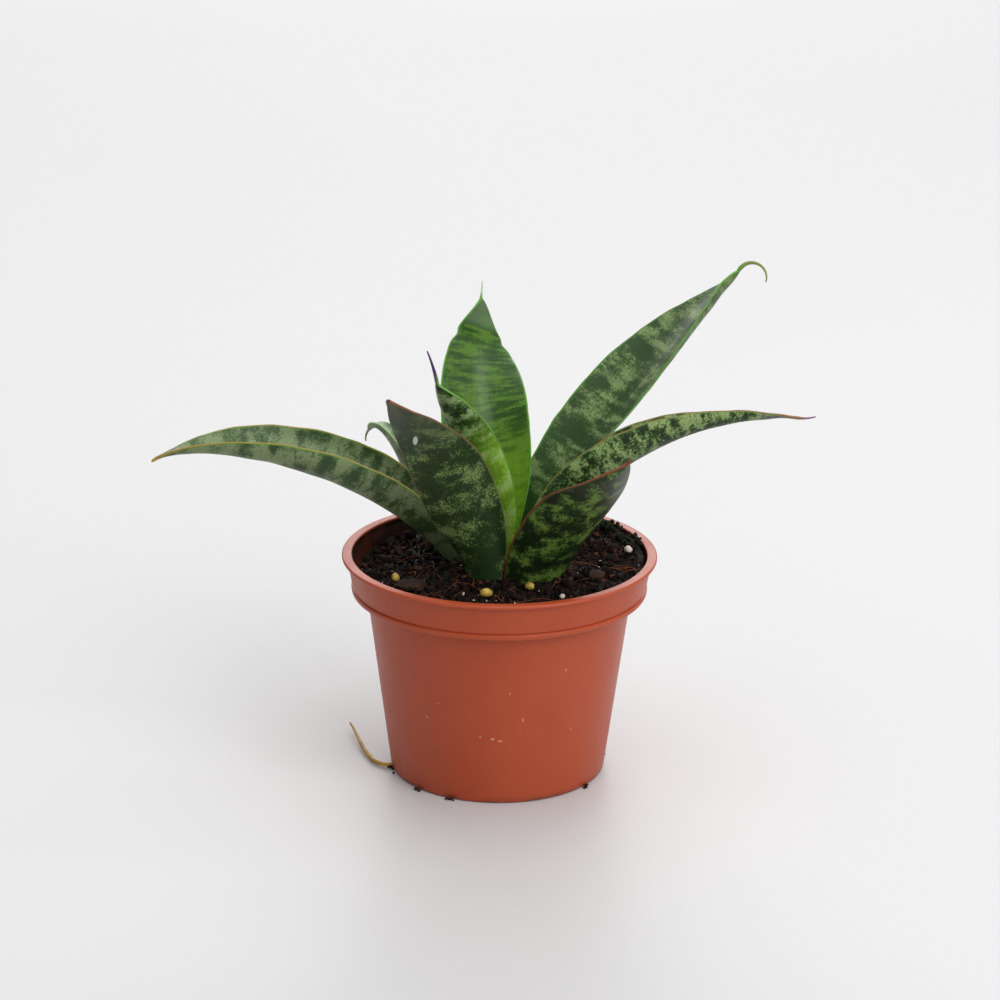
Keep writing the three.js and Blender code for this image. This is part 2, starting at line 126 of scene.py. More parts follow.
# A leaf's spine is a cubic Bezier curve from its base, with control points [out, sideways, up] turned to
# its azimuth. Half_width is measured along the surface at the widest place, base_width is the share of it
# at the base, and taper the power that thins it to the tip. Fold is half the angle of the section's arc and
# roll its turn about the spine, each at the base, the middle and the tip. The awn is the hard point: its
# length, the angle that it curls through and half its thickness. Wave is how far the margin ripples.
#
# The rest is its skin. Dark is the green between the bands, deep its darkest patches and pale the bands. Root
# is the colour at the base: where it is darker than the leaf it is painted shade near the soil, and on the
# spear and the back upright leaf, where it is lighter, it is a painted glow of light through the leaf. Tip is
# the colour towards the tip, on the front left leaf a greyish painted sheen. A reach is the share of the way
# along over which the base or tip colour fades out or in. Margin is the strip by the edge, and rim the hard
# line on the edge itself, about rim_width wide. Band is a cross band's size along the leaf, and stretch how
# many times as far it goes across. Level is the noise value about which dark turns pale. Fray and stipple are
# how ragged and how speckled the bands are, strength is how pale they get, and midrib how pale the painted
# highlight along the middle is.
LEAVES = {
    "leaf_spear": {
        "base": (-0.9, -4.4), "azimuth": 203,
        "spine": ((-2.8, 0, 22.4), (11.1, 0.6, 38.9), (12.6, 1.8, 43.9)),
        "half_width": 5.8, "widest": 0.43, "base_width": 0.46, "taper": 0.82,
        "fold": (73, 59, 38), "roll": (5, 37, 5), "awn": (7.6, -9, 0.42), "wave": 0.12,
        "dark": "#2b4a1b", "deep": "#16290f", "pale": "#a6bf82",
        # Root: a painted glow of light through the lower part of the leaf.
        "root": "#7ba72c", "root_reach": (0.42, 0.74),
        "tip": "#20291d", "tip_reach": (0.90, 1.0), "awn_colour": "#5a3468",
        "margin": "#4d7a2a", "rim": "#6f9a40", "rim_width": 0.16,
        "band": 3.0, "stretch": 1.5, "level": 0.53,
        "fray": 0.35, "stipple": 0.25, "strength": 0.85, "painted_midrib_highlight": 0.0,
    },
    "leaf_back_upright": {
        "base": (-0.5, 5.8), "azimuth": 100.5,
        "spine": ((6.3, 0, 32.6), (35.1, -1, 30.4), (36.4, -3, 45.6)),
        "half_width": 9.2, "widest": 0.25, "base_width": 0.31, "taper": 0.53,
        "fold": (74, 17, 11), "roll": (-11, -12, 57), "awn": (3.7, -5, 0.3), "wave": 0.2,
        "dark": "#2a5009", "deep": "#1e3e07", "pale": "#5c8226",
        # Root: a painted glow of light through the lower part of the leaf.
        "root": "#74a01c", "root_reach": (0.12, 0.42),
        "tip": "#5c7350", "tip_reach": (0.84, 0.9), "awn_colour": "#cfe0c4",
        "margin": "#44761f", "rim": "#5f9a34", "rim_width": 0.2,
        "band": 1.3, "stretch": 4.0, "level": 0.53,
        # Midrib: a painted highlight along the middle of the leaf.
        "fray": 0.25, "stipple": 0.2, "strength": 0.6, "painted_midrib_highlight": 0.22,
    },
    "leaf_back_right": {
        "base": (6.2, 10), "azimuth": 28.5,
        "spine": ((-6.8, 0, 18), (37.8, -0.8, 45.6), (43.9, -2.5, 55.6)),
        "half_width": 9.2, "widest": 0.63, "base_width": 0.34, "taper": 0.87,
        "fold": (53, 42, 38), "roll": (0, 8, -48), "awn": (8.5, -165, 0.5), "wave": 0.1,
        "dark": "#3d572c", "deep": "#2c4222", "pale": "#8fa26a",
        "root": "#33592a", "root_reach": (0.12, 0.4),
        "tip": "#4f6a35", "tip_reach": (0.93, 1.0), "awn_colour": "#8a8a4c",
        "margin": "#4a7a2c", "rim": "#639a3c", "rim_width": 0.2,
        "band": 3.0, "stretch": 3.2, "level": 0.555,
        "fray": 0.35, "stipple": 0.35, "strength": 0.75, "painted_midrib_highlight": 0.0,
    },
    "leaf_right_arching": {
        "base": (7.3, -5), "azimuth": 1.5,
        "spine": ((2.4, 0, 25.6), (31.5, 2.6, 37), (49.4, 7.9, 33.2)),
        "half_width": 9.8, "widest": 0.35, "base_width": 0.38, "taper": 1.4,
        "fold": (81, 90, 33), "roll": (-51, -13, -40), "awn": (3.6, 22, 0.3), "wave": 0.1,
        "dark": "#2f4a1e", "deep": "#15210f", "pale": "#94aa6c",
        "root": "#35531f", "root_reach": (0.1, 0.35),
        "tip": "#6c6178", "tip_reach": (0.82, 0.97), "awn_colour": "#7a5c78",
        "margin": "#5a8a38", "rim": "#8a5a3c", "rim_width": 0.16,
        "band": 2.2, "stretch": 1.5, "level": 0.53,
        "fray": 0.5, "stipple": 0.45, "strength": 0.85, "painted_midrib_highlight": 0.0,
    },
    "leaf_front_right": {
        "base": (8, -12.6), "azimuth": 314.5,
        "spine": ((-2.4, 0, 12.6), (17.6, 0, 27.8), (21.7, 0, 34.7)),
        "half_width": 9.6, "widest": 0.59, "base_width": 0.73, "taper": 1.12,
        "fold": (57, 37, 32), "roll": (-9, -14, 16), "awn": (0.8, 0, 0.35), "wave": 0.12,
        "dark": "#233a16", "deep": "#101b0c", "pale": "#6c8a3c",
        # Root: painted shade at the base, near the soil.
        "root": "#16240f", "root_reach": (0.02, 0.12),
        "tip": "#43582f", "tip_reach": (0.92, 1.0), "awn_colour": "#6a4a38",
        "margin": "#3e461f", "rim": "#7e3c28", "rim_width": 0.26,
        "band": 3.2, "stretch": 1.2, "level": 0.56,
        "fray": 0.4, "stipple": 0.4, "strength": 0.8, "painted_midrib_highlight": 0.0,
    },
    "leaf_front_left": {
        "base": (-4.6, -13.6), "azimuth": 227.5,
        "spine": ((-3.2, 0, 14.9), (7.6, 1.1, 32.8), (26.3, 3.4, 47.8)),
        "half_width": 7.3, "widest": 0.44, "base_width": 0.45, "taper": 0.5,
        "fold": (86, 32, 10), "roll": (-32, 51, -5), "awn": (0.5, 0, 0.4), "wave": 0.2,
        "dark": "#2b411e", "deep": "#1b2d13", "pale": "#7d9356",
        # Root: painted shade at the base, near the soil.
        "root": "#1e3315", "root_reach": (0.02, 0.15),
        # Tip: a greyish painted sheen over the upper third of the leaf.
        "tip": "#4a5345", "tip_reach": (0.68, 1.0), "awn_colour": "#5c3648",
        "margin": "#566030", "rim": "#7c4a38", "rim_width": 0.16,
        "band": 5.0, "stretch": 1.2, "level": 0.58,
        "fray": 0.35, "stipple": 0.55, "strength": 0.75, "painted_midrib_highlight": 0.0,
    },
    "leaf_left_arching": {
        "base": (-6, -0.8), "azimuth": 188.5,
        "spine": ((13.6, 0, 27.1), (52.8, 0.1, 32.8), (59.2, 0.4, 28.1)),
        "half_width": 9.9, "widest": 0.31, "base_width": 0.36, "taper": 1.11,
        "fold": (100, 92, 8), "roll": (-4, -4, 18), "awn": (0.5, 0, 0.35), "wave": 0.12,
        "dark": "#425934", "deep": "#2f4427", "pale": "#8b9b70",
        # Root: painted shade at the base, near the soil.
        "root": "#2b3d20", "root_reach": (0.15, 0.45),
        "tip": "#5d6a3f", "tip_reach": (0.88, 1.0), "awn_colour": "#b98a35",
        "margin": "#5b8c3a", "rim": "#a5853e", "rim_width": 0.18,
        "band": 2.9, "stretch": 2.2, "level": 0.50,
        "fray": 0.25, "stipple": 0.3, "strength": 0.75, "painted_midrib_highlight": 0.0,
    },
    "leaf_back_left": {
        "base": (-8.1, 6), "azimuth": 151,
        "spine": ((7.4, 0, 9.7), (15, -0.3, 32.2), (20.4, -0.8, 26.1)),
        "half_width": 5.5, "widest": 0.45, "base_width": 0.61, "taper": 0.75,
        "fold": (63, 48, 28), "roll": (-4, 23, 3), "awn": (2.6, -50, 0.3), "wave": 0.1,
        "dark": "#5c7450", "deep": "#465c3b", "pale": "#9dae8c",
        # Root: painted shade at the base, near the soil.
        "root": "#41552f", "root_reach": (0.1, 0.4),
        "tip": "#93a684", "tip_reach": (0.8, 1.0), "awn_colour": "#b9a98d",
        "margin": "#7fa564", "rim": "#9dbb80", "rim_width": 0.2,
        "band": 2.9, "stretch": 2.0, "level": 0.50,
        "fray": 0.15, "stipple": 0.1, "strength": 0.7, "painted_midrib_highlight": 0.0,
    },
}
PINCH = {"leaf_back_upright": (0.80, 0.025, 0.1)}  # a leaf's slight waist: place, reach and depth
SCARS = {"leaf_front_left": (-1.5, 43.7, 230.0, 0.5, 1.6)}  # a healed nick: where on the skin, width, length

ESCAPED_ROOT = (
    (-12.9, -2.3, 2.1), (-13.6, -2.4, 1.1), (-15.5, -2.7, 0.62), (-19.2, -3.3, 0.6), (-22, -3.4, 0.55),
    (-24.2, -1.2, 0.55), (-26, 3.5, 0.7), (-27.6, 9.5, 1.1), (-29.4, 15.5, 1.3),
)
ESCAPED_ROOT_RADIUS = 0.38

BODY_FLARE = 0.134  # about how much wider the pot's body gets for each millimetre up

# Small bright marks on the pot: angle round it, height, length round the pot and width.
SCUFFS = (
    (-98.5, 14.3, 0.55, 0.45), (-92.4, 13.9, 1.0, 0.55), (-88.9, 13.5, 1.1, 0.5), (-125.7, 16.7, 0.5, 0.6),
    (-58.7, 27.3, 0.45, 0.8), (-78.2, 17.9, 0.3, 1.3), (-84.7, 23.6, 0.3, 0.6), (-118.8, 20.3, 0.3, 0.7),
    (-52.2, 14.2, 0.4, 0.4), (35.0, 22.0, 0.9, 0.4), (120.0, 12.5, 0.5, 0.9), (170.0, 26.0, 1.2, 0.35),
)

# The studio, in metres and watts: each light's place, the point it faces, its two sides and its power.
LIGHTS = {
    "overhead_softbox": ((0.15, -0.02, 0.95), (0, 0, 0), (1.1, 1.1), 6.2),
    "front_softbox": ((0.6, -0.7, 0.65), (0, 0, 0.04), (0.7, 0.7), 6.4),
    "far_softbox": ((0, 1.2, 0.6), (0, 0.5, 0), (1.3, 0.6), 9.0),
}
WORLD_STRENGTH = 0.40
FLOOR_HALF_SIDE = 6000.0


# ---- Arithmetic on whole arrays ----

def smooth(value, low, high):
    """A smooth step from 0 at low to 1 at high: of the share of the way between them, three times the square
    less twice the cube."""
    share = np.clip((np.asarray(value, float) - low) / (high - low), 0, 1)
    return share * share * (3 - 2 * share)


def noise(points, size, seed=0):
    """Smooth random values from -1 to 1: one number at each corner of a grid of cubes of that size, blended
    between the corners of a point's cube by smooth steps."""
    cell = np.asarray(points, float) / size
    corner = np.floor(cell)
    share = cell - corner
    share = share * share * (3 - 2 * share)
    total = np.zeros(cell.shape[:-1])
    for offset in np.ndindex(2, 2, 2):
        offset = np.array(offset)
        mixed = np.sin((corner + offset) @ np.array((127.1, 311.7, 74.7)) + 53.3 * seed) * 43758.5453
        weight = np.prod(np.where(offset == 1, share, 1 - share), axis=-1)
        total += weight * (2 * (mixed - np.floor(mixed)) - 1)
    return total


def unit(vectors):
    return vectors / np.maximum(np.linalg.norm(vectors, axis=-1, keepdims=True), 1e-12)


def through(values, s):
    """The parabola through a value at s = 0, one at 0.5 and one at 1."""
    base, middle, tip = values
    return base * (1 - s) * (1 - 2 * s) + 4 * middle * s * (1 - s) + tip * s * (2 * s - 1)


def soil_top(x, y):
    """The soil's height: a bell-shaped mound round the crown, less a dip at the left, plus a rise at the
    back."""
    from_crown = (x - CROWN[0]) ** 2 + (y - CROWN[1]) ** 2
    mound = SOIL["mound_rise"] * np.exp(-from_crown / (2 * SOIL["mound_reach"] ** 2))
    dip = SOIL["left_dip"] * smooth(-x, *SOIL["dip_from_to"])
    rise = SOIL["back_rise"] * smooth(0.6 * x + 0.8 * y, *SOIL["rise_from_to"])
    return SOIL["level"] + mound - dip + rise


# ---- Meshes ----

def new_piece(name, vertices, faces, material):
    mesh = bpy.data.meshes.new(name)
    mesh.from_pydata((np.asarray(vertices).reshape(-1, 3) * MM).tolist(), [], faces)
    piece = bpy.data.objects.new(name, mesh)
    bpy.context.scene.collection.objects.link(piece)
    mesh.materials.append(material)
    mesh.shade_smooth()
    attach(piece, "root")
    return piece


def add_attribute(piece, name, values):
    """A value or vector for each vertex, for the piece's material to read."""
    values = np.asarray(values, np.float32)
    kind = "FLOAT" if values.ndim == 1 else "FLOAT_VECTOR"
    attribute = piece.data.attributes.new(name, kind, "POINT")
    attribute.data.foreach_set("value" if values.ndim == 1 else "vector", values.ravel())


def grid_faces(rows, columns):
    """The quads of a grid whose last column joins its first, each turned anticlockwise seen from outside when
    the columns run anticlockwise about the way that the rows go."""
    row, column = np.meshgrid(np.arange(rows - 1), np.arange(columns), indexing="ij")
    after = (column + 1) % columns
    here, above = row * columns, (row + 1) * columns
    return np.stack((here + column, here + after, above + after, above + column), -1).reshape(-1, 4)


def tube_piece(name, grid, material, attributes=None, bake_map=False):
    """A closed piece from a grid of points that goes round in its columns. Its first and last rows are each
    one point, so they close its ends."""
    rows, columns = grid.shape[:2]
    piece = new_piece(name, grid, grid_faces(rows, columns).tolist(), material)
    for key, values in (attributes or {}).items():
        add_attribute(piece, key, np.asarray(values).reshape(rows * columns, -1).squeeze())
    if bake_map:
        row, column = np.meshgrid(np.arange(rows - 1), np.arange(columns), indexing="ij")
        u = np.stack((column, column + 1, column + 1, column), -1) / columns
        v = np.stack((row, row, row + 1, row + 1), -1) / (rows - 1)
        layer = piece.data.uv_layers.new(name="OFBake")
        layer.data.foreach_set("uv", np.stack((u, v), -1).astype(np.float32).ravel())
    merge_points(piece)
    return piece


def merge_points(piece, distance=1e-6):
    """Joins points that lie in one place, which closes seams and poles, and turns the faces outwards."""
    work = bmesh.new()
    work.from_mesh(piece.data)
    bmesh.ops.remove_doubles(work, verts=work.verts, dist=distance)
    bmesh.ops.dissolve_degenerate(work, edges=work.edges, dist=distance / 10)
    bmesh.ops.recalc_face_normals(work, faces=work.faces)
    work.to_mesh(piece.data)
    work.free()


def sweep(path, radii, columns):
    """Circles of the given radii round a path, each square to it, with a point at each end. The sideways
    direction at each place is the upright's part across the path."""
    path = np.asarray(path, float)
    along = unit(np.gradient(path, axis=0))
    upright = np.array((0.13, 0.21, 1.0))
    side = unit(np.cross(along, upright))
    lift = np.cross(side, along)
    angle = np.linspace(0, 2 * math.pi, columns, endpoint=False)
    circle = np.cos(angle)[None, :, None] * side[:, None] + np.sin(angle)[None, :, None] * lift[:, None]
    rings = path[:, None] + circle * np.asarray(radii)[:, None, None]
    ends = [np.repeat(path[i][None, None], columns, axis=1) for i in (0, -1)]
    return np.concatenate((ends[0], rings, ends[1]))


def curve_through(points, count):
    """Evenly many places on a Catmull-Rom curve: on each stretch a cubic whose ends are two of the points and
    whose slope at each is half the step between that point's neighbours."""
    points = np.asarray(points, float)
    padded = np.vstack((2 * points[0] - points[1], points, 2 * points[-1] - points[-2]))
    place = np.linspace(0, len(points) - 1, count)
    start = np.minimum(place.astype(int), len(points) - 2)
    t = (place - start)[:, None]
    before, first, second, after = (padded[start + i] for i in range(4))
    return 0.5 * (2 * first + (second - before) * t + (2 * before - 5 * first + 4 * second - after) * t ** 2
                  + (3 * first - before - 3 * second + after) * t ** 3)


# ---- Materials ----

def linear(colour):
    """An sRGB hex colour as linear red, green, blue and alpha."""
    parts = [int(colour[i:i + 2], 16) / 255 for i in (1, 3, 5)]
    return [p / 12.92 if p <= 0.04045 else ((p + 0.055) / 1.055) ** 2.4 for p in parts] + [1.0]


def add(tree, kind, inputs=None, **settings):
    """Adds a node with its settings. Each input, by its name or number, is a value or another node's
    output."""
    node = tree.nodes.new(kind)
    for key, value in settings.items():
        setattr(node, key, value)
    for key, value in (inputs or {}).items():
        if isinstance(value, bpy.types.NodeSocket):
            tree.links.new(value, node.inputs[key])
        else:
            node.inputs[key].default_value = value
    return node


def new_material(name):
    material = bpy.data.materials.new(name)
    material.use_nodes = True
    tree = material.node_tree
    return material, tree, tree.nodes["Principled BSDF"]


def layered(tree, lowest, layers):
    """Colours laid over each other: each layer is how much of it there is, and its colour."""
    colour = lowest
    for amount, above in layers:
        mixed = add(tree, "ShaderNodeMix", {0: amount, 6: colour, 7: above}, data_type="RGBA")
        colour = mixed.outputs[2]
    return colour


def speckle(tree, place, size, detail=2.0, **more):
    """Noise with features of a real size in millimetres along each axis of the given place."""
    scaled = add(tree, "ShaderNodeMapping", {"Vector": place, "Scale": [1 / s for s in size]})
    return add(tree, "ShaderNodeTexNoise",
               {"Vector": scaled.outputs[0], "Scale": 1.0, "Detail": detail, **more}).outputs["Fac"]


def ramp(tree, value, low, high, bottom=0.0, top=1.0):
    """The value carried smoothly from bottom at low to top at high."""
    return add(tree, "ShaderNodeMapRange", {"Value": value, "From Min": low, "From Max": high,
                                            "To Min": bottom, "To Max": top},
               interpolation_type="SMOOTHSTEP").outputs[0]


def sums(tree, operation, first, *others):
    """Values joined one after another by the same operation."""
    for other in others:
        first = add(tree, "ShaderNodeMath", {0: first, 1: other}, operation=operation).outputs[0]
    return first


def in_millimetres(tree):
    """A point's own coordinates in millimetres."""
    place = add(tree, "ShaderNodeTexCoord").outputs["Object"]
    per_metre = (1 / MM, 1 / MM, 1 / MM)
    return add(tree, "ShaderNodeVectorMath", {0: place, 1: per_metre}, operation="MULTIPLY").outputs[0]


def finish_skin(tree, shader, colour, roughness, specular, relief):
    """Gives the shader its colour, gloss and relief. The relief is a height, its strength and its depth in
    millimetres."""
    height, strength, depth = relief
    bump = add(tree, "ShaderNodeBump", {"Height": height, "Strength": strength, "Distance": depth * MM})
    tree.links.new(colour, shader.inputs["Base Color"])
    tree.links.new(bump.outputs[0], shader.inputs["Normal"])
    if isinstance(roughness, bpy.types.NodeSocket):
        tree.links.new(roughness, shader.inputs["Roughness"])
    else:
        shader.inputs["Roughness"].default_value = roughness
    shader.inputs["Specular IOR Level"].default_value = specular


def leaf_skin(name, leaf):
    """Living snake plant leaf: a waxy cuticle over firm flesh, half gloss, with frayed cross bands of paler
    green that follow the surface, fine length-wise fibres, and a thin hard coloured margin."""
    material, tree, shader = new_material("waxy_" + name)
    lay = add(tree, "ShaderNodeAttribute", attribute_name="lay").outputs["Vector"]
    spot = add(tree, "ShaderNodeAttribute", attribute_name="spot").outputs["Vector"]
    edge, share = add(tree, "ShaderNodeSeparateXYZ", {0: spot}).outputs[:2]
    across = add(tree, "ShaderNodeSeparateXYZ", {0: lay}).outputs[0]

    band = leaf["band"]
    bands = speckle(tree, lay, (band * leaf["stretch"], band, 1.0), 3.0, Roughness=0.55)
    frayed = speckle(tree, lay, (0.9, 1.2, 1.0), 3.0, Roughness=0.65)
    patches = speckle(tree, lay, (4.5, 7.0, 1.0), 1.0)
    stipple = speckle(tree, lay, (0.35, 0.45, 1.0), 2.0, Roughness=0.6)
    fibres = speckle(tree, lay, (0.3, 16.0, 1.0), 2.0)

    def swing(noise_value, amount):
        return sums(tree, "MULTIPLY", sums(tree, "SUBTRACT", noise_value, 0.5), amount)

    value = sums(tree, "ADD", bands, swing(frayed, leaf["fray"]), swing(stipple, leaf["stipple"]),
                 swing(patches, 0.3))
    banded = ramp(tree, value, leaf["level"] - 0.08, leaf["level"] + 0.11, 0, leaf["strength"])
    banded = sums(tree, "MULTIPLY", banded, ramp(tree, stipple, 0.3, 0.6, 0.6, 1.0))
    darker = ramp(tree, value, leaf["level"] - 0.04, leaf["level"] - 0.14)
    # How much of the base colour there is: painted shade near the soil where it is darker, a painted glow of
    # light through the leaf where it is lighter.
    base_tone_glow_and_shade = ramp(tree, share, leaf["root_reach"][1], leaf["root_reach"][0])
    # The tip colour: the leaf's own tip tone, and on the front left leaf a greyish painted sheen.
    tip_tone_and_sheen = ramp(tree, share, *leaf["tip_reach"], 0, 0.85)
    on_awn = ramp(tree, share, 0.99, 1.09)
    from_middle = sums(tree, "ABSOLUTE", across, 0.0)
    # A pale line along the middle: a painted highlight, fading out towards the tip.
    painted_midrib_highlight = sums(tree, "MULTIPLY", ramp(tree, from_middle, 2.4, 0.2, 0, leaf["painted_midrib_highlight"]),
                  ramp(tree, share, 0.82, 0.6))
    wander = speckle(tree, lay, (30.0, 3.0, 1.0), 2.0)
    by_edge = ramp(tree, edge, 2.6 * leaf["rim_width"], leaf["rim_width"], 0, 0.9)
    at_rim = sums(tree, "MULTIPLY", ramp(tree, edge, leaf["rim_width"] * 1.3, leaf["rim_width"] * 0.5),
                  ramp(tree, wander, 0.3, 0.5, 0.35, 1.0))
    # The base colour with the dark and pale pattern over it, carrying that painted shade and glow.
    base_tone_glow_and_shade_colour = layered(tree, linear(leaf["root"]), [
        (sums(tree, "MULTIPLY", darker, 0.35), linear(leaf["dark"])),
        (sums(tree, "MULTIPLY", banded, 0.7), linear(leaf["pale"])),
    ])
    colour = layered(tree, linear(leaf["dark"]), [
        (sums(tree, "MULTIPLY", darker, 0.8), linear(leaf["deep"])),
        (banded, linear(leaf["pale"])),
        (base_tone_glow_and_shade, base_tone_glow_and_shade_colour),
        (painted_midrib_highlight, linear("#8fa67c")),
        (tip_tone_and_sheen, linear(leaf["tip"])),
        (by_edge, linear(leaf["margin"])),
        (at_rim, linear(leaf["rim"])),
        (on_awn, linear(leaf["awn_colour"])),
    ])
    if name in SCARS:
        *centre, width, length = SCARS[name]
        nick = add(tree, "ShaderNodeMapping", {"Vector": lay, "Location": centre, "Rotation": (0, 0, -0.5),
                                               "Scale": (width, length, 1)}, vector_type="TEXTURE")
        reach = add(tree, "ShaderNodeVectorMath", {0: nick.outputs[0]}, operation="LENGTH").outputs["Value"]
        colour = layered(tree, colour, [(ramp(tree, reach, 1.3, 0.9), linear("#46583a")),
                                        (ramp(tree, reach, 1.0, 0.6), linear("#b9c4b4"))])
    tint = ramp(tree, fibres, 0.3, 0.7, 0.93, 1.06)
    colour = add(tree, "ShaderNodeVectorMath", {0: colour, 1: tint}, operation="MULTIPLY").outputs[0]
    relief = sums(tree, "ADD", sums(tree, "MULTIPLY", fibres, 0.5), sums(tree, "MULTIPLY", bands, 0.9))
    finish_skin(tree, shader, colour, ramp(tree, patches, 0.3, 0.7, 0.38, 0.5), 0.22, (relief, 0.35, 0.12))
    return material


def pot_plastic():
    """Injection-moulded polypropylene, terracotta brown: half gloss with a faint mottle from the moulding,
    dust, soil stain and painted shade inside above the soil, and short pale scuffs where the colour has
    stretched."""
    material, tree, shader = new_material("moulded_terracotta_polypropylene")
    place = in_millimetres(tree)
    mottle = speckle(tree, place, (9.0, 9.0, 14.0), 3.0)
    dust = speckle(tree, place, (0.22, 0.22, 0.3), 1.0)
    dusty = speckle(tree, place, (7.0, 7.0, 5.0), 2.0)
    height = add(tree, "ShaderNodeSeparateXYZ", {0: place}).outputs[2]
    marks = 0.0
    for angle, level, length, width in SCUFFS:
        turn = math.radians(angle)
        radius = POT["base_radius"] + BODY_FLARE * level
        mark = add(tree, "ShaderNodeMapping", {
            "Vector": place, "Location": (radius * math.cos(turn), radius * math.sin(turn), level),
            "Rotation": (0, 0, turn), "Scale": (1.5, length / 2, width / 2)}, vector_type="TEXTURE")
        reach = add(tree, "ShaderNodeVectorMath", {0: mark.outputs[0]}, operation="LENGTH").outputs["Value"]
        marks = sums(tree, "MAXIMUM", ramp(tree, reach, 1.0, 0.4), marks)
    broken = ramp(tree, speckle(tree, place, (0.35, 0.35, 0.35), 2.0), 0.35, 0.55, 0.2, 0.85)
    marks = sums(tree, "MULTIPLY", marks, broken)
    specks = sums(tree, "MULTIPLY", ramp(tree, dust, 0.68, 0.75, 0, 0.38), ramp(tree, dusty, 0.45, 0.6))
    # Darker over the lowest 1.6 mm of the pot, broken up by a mottle.
    darker_at_foot = sums(tree, "MULTIPLY", ramp(tree, height, 1.6, 0.1, 0, 0.5), ramp(tree, dusty, 0.35, 0.6))
    across = add(tree, "ShaderNodeVectorMath", {0: place, 1: (1, 1, 0)}, operation="MULTIPLY").outputs[0]
    radius = add(tree, "ShaderNodeVectorMath", {0: across}, operation="LENGTH").outputs["Value"]
    top_radius, foot_radius = POT["collar_top_radius"], POT["collar_foot_radius"]
    slope = (top_radius - foot_radius) / (POT["height"] - POT["collar_foot_height"])
    depth = sums(tree, "SUBTRACT", radius, sums(tree, "MULTIPLY", height, slope))
    outside = top_radius - slope * POT["height"]
    # Near-black on the inside wall from just under the lip down to 36 mm: partly soil stain, partly painted
    # shade.
    stain_and_painted_shade = sums(tree, "MULTIPLY", ramp(tree, depth, outside - 0.2, outside - 0.6),
                   ramp(tree, height, 36.0, 37.0),
                   ramp(tree, height, POT["height"] - 0.1, POT["height"] - 0.6),
                   ramp(tree, dusty, 0.3, 0.55, 0.75, 0.97))
    colour = layered(tree, linear("#ae4725"), [
        (ramp(tree, mottle, 0.3, 0.7, 0, 0.5), linear("#b3502e")),
        (darker_at_foot, linear("#4c2a1e")),
        (stain_and_painted_shade, linear("#24150f")),
        (specks, linear("#d29a82")),
        (marks, linear("#e0ac96")),
    ])
    fine = speckle(tree, place, (0.5, 0.5, 0.5), 2.0)
    finish_skin(tree, shader, colour, ramp(tree, mottle, 0.3, 0.7, 0.36, 0.46), 0.36, (fine, 0.12, 0.05))
    return material


def peat():
    """Moist peat: nearly black brown, rough, with reddish fibres and lighter dry flecks."""
    material, tree, shader = new_material("moist_peat")
    place = in_millimetres(tree)
    clods = speckle(tree, place, (3.0, 3.0, 3.0), 4.0)
    flecks = speckle(tree, place, (0.4, 0.4, 0.4), 2.0)
    strands = speckle(tree, place, (0.35, 2.5, 0.35), 2.0)
    colour = layered(tree, linear("#100b08"), [
        (ramp(tree, clods, 0.4, 0.7), linear("#24160f")),
        (ramp(tree, strands, 0.6, 0.7, 0, 0.6), linear("#3a2116")),
        (ramp(tree, flecks, 0.68, 0.76, 0, 0.5), linear("#5a3d30")),
    ])
    finish_skin(tree, shader, colour, 0.85, 0.25, (flecks, 0.9, 0.4))
    return material


def toned(name, low, high, roughness, grain=0.5, specular=0.3):
    """A natural material whose pieces differ: the tone attribute mixes two colours, and a grain of the given
    size in millimetres breaks them up."""
    material, tree, shader = new_material(name)
    tone = add(tree, "ShaderNodeAttribute", attribute_name="tone").outputs["Fac"]
    place = in_millimetres(tree)
    mottle = speckle(tree, place, (grain, grain, grain), 2.0)
    broken = sums(tree, "ADD", tone, ramp(tree, mottle, 0.25, 0.75, -0.35, 0.35))
    colour = layered(tree, linear(low), [(broken, linear(high))])
    finish_skin(tree, shader, colour, roughness, specular, (mottle, 0.6, 0.3 * grain))
    return material


# ---- Camera, lights and floor ----

def make_camera():
    tilt, roll = math.radians(CAMERA["tilt"]), math.radians(CAMERA["roll"])
    forward = np.array((0, math.cos(tilt), -math.sin(tilt)))
    right = np.array((1.0, 0, 0))
    up = np.cross(right, forward)
    right, up = right * math.cos(roll) + up * math.sin(roll), up * math.cos(roll) - right * math.sin(roll)
    place = (-forward * CAMERA["distance"] + right * CAMERA["right"] + up * CAMERA["up"]) * MM
    data = bpy.data.cameras.new("camera")
    data.lens = CAMERA["lens"]
    data.clip_start = 0.01
    data.clip_end = 50
    camera = bpy.data.objects.new("camera", data)
    matrix = Matrix(np.column_stack((right, up, -forward)).tolist()).to_4x4()
    matrix.translation = place
    camera.matrix_world = matrix
    bpy.context.scene.collection.objects.link(camera)
    bpy.context.scene.camera = camera


def make_light(name, place, aim, size, power):
    data = bpy.data.lights.new(name, "AREA")
    data.shape = "RECTANGLE"
    data.size, data.size_y = size
    data.energy = power
    light = bpy.data.objects.new(name, data)
    towards = unit(np.array(place, float) - np.array(aim, float))
    side = unit(np.cross((0.01, 1, 0), towards))
    matrix = Matrix(np.column_stack((side, np.cross(towards, side), towards)).tolist()).to_4x4()
    matrix.translation = place
    light.matrix_world = matrix
    bpy.context.scene.collection.objects.link(light)


